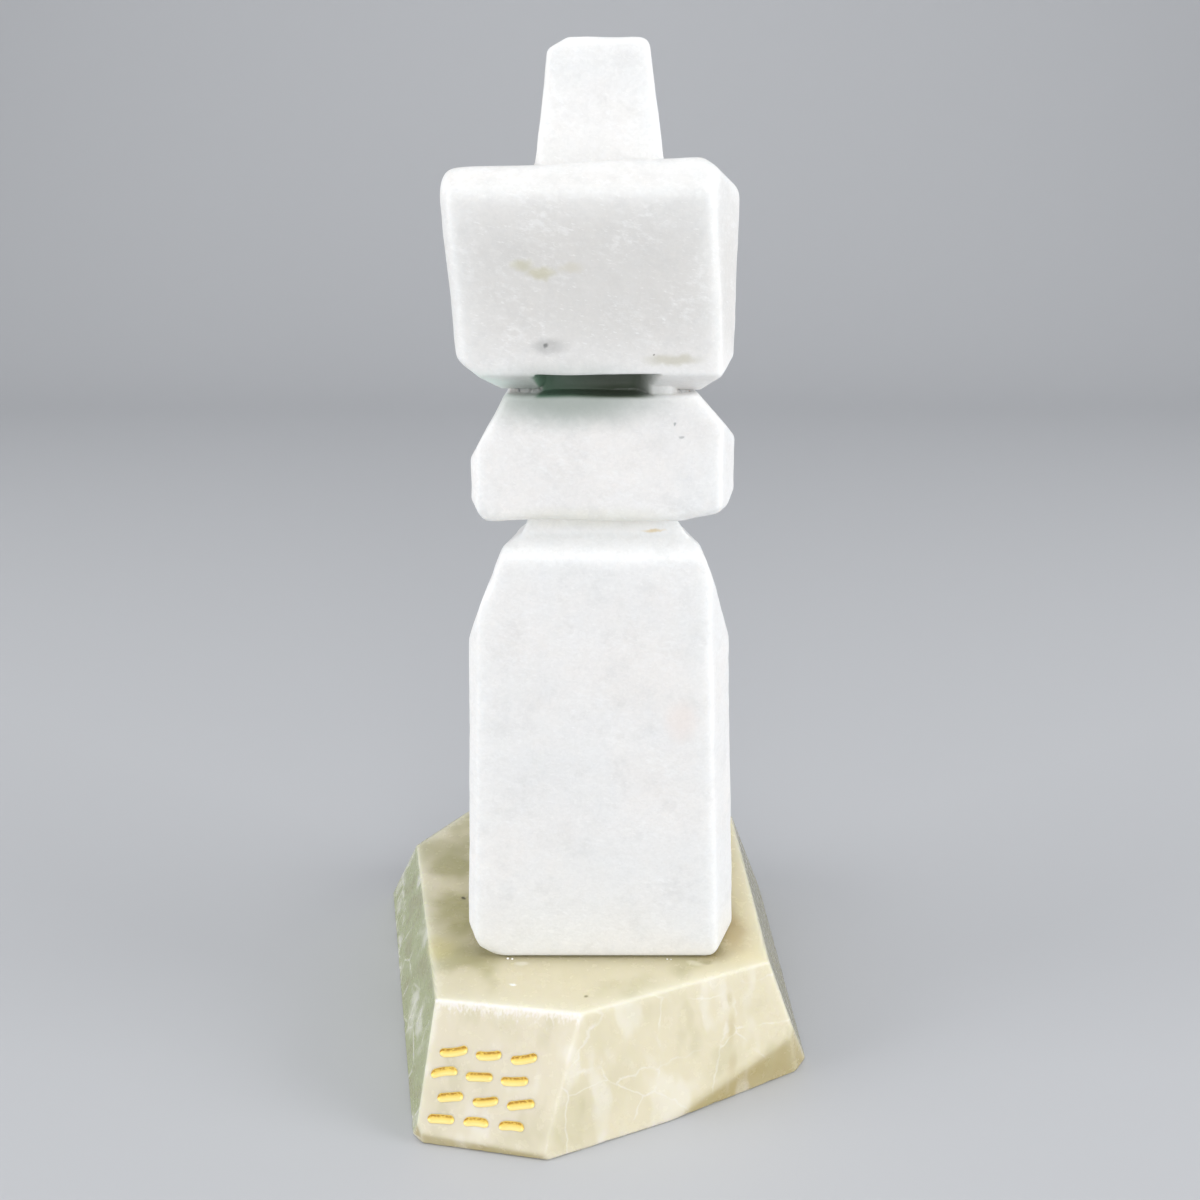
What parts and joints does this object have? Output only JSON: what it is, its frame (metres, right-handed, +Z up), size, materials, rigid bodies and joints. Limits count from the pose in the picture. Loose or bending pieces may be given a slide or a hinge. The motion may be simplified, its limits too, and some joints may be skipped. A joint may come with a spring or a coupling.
{
  "type": "inuit inukshuk sculpture",
  "caption": "Small carved stone cairn figure in white marble, glued on an angular pale green stone base with short gilded strokes cut in one front face.",
  "frame": {"origin": "middle of the whole part's footprint, on the surface that the base stands on", "axes": "+Z up, the front of the figure looks along -Y, +X to its viewer's right"},
  "size_m": [0.1266, 0.1272, 0.2553],
  "materials": {
    "white_marble": "smooth, honed",
    "pale_green_stone": "polished"
  },
  "bodies": {
    "root": {"marble_figure": "white_marble", "stone_base": "pale_green_stone"}
  },
  "joints": []
}
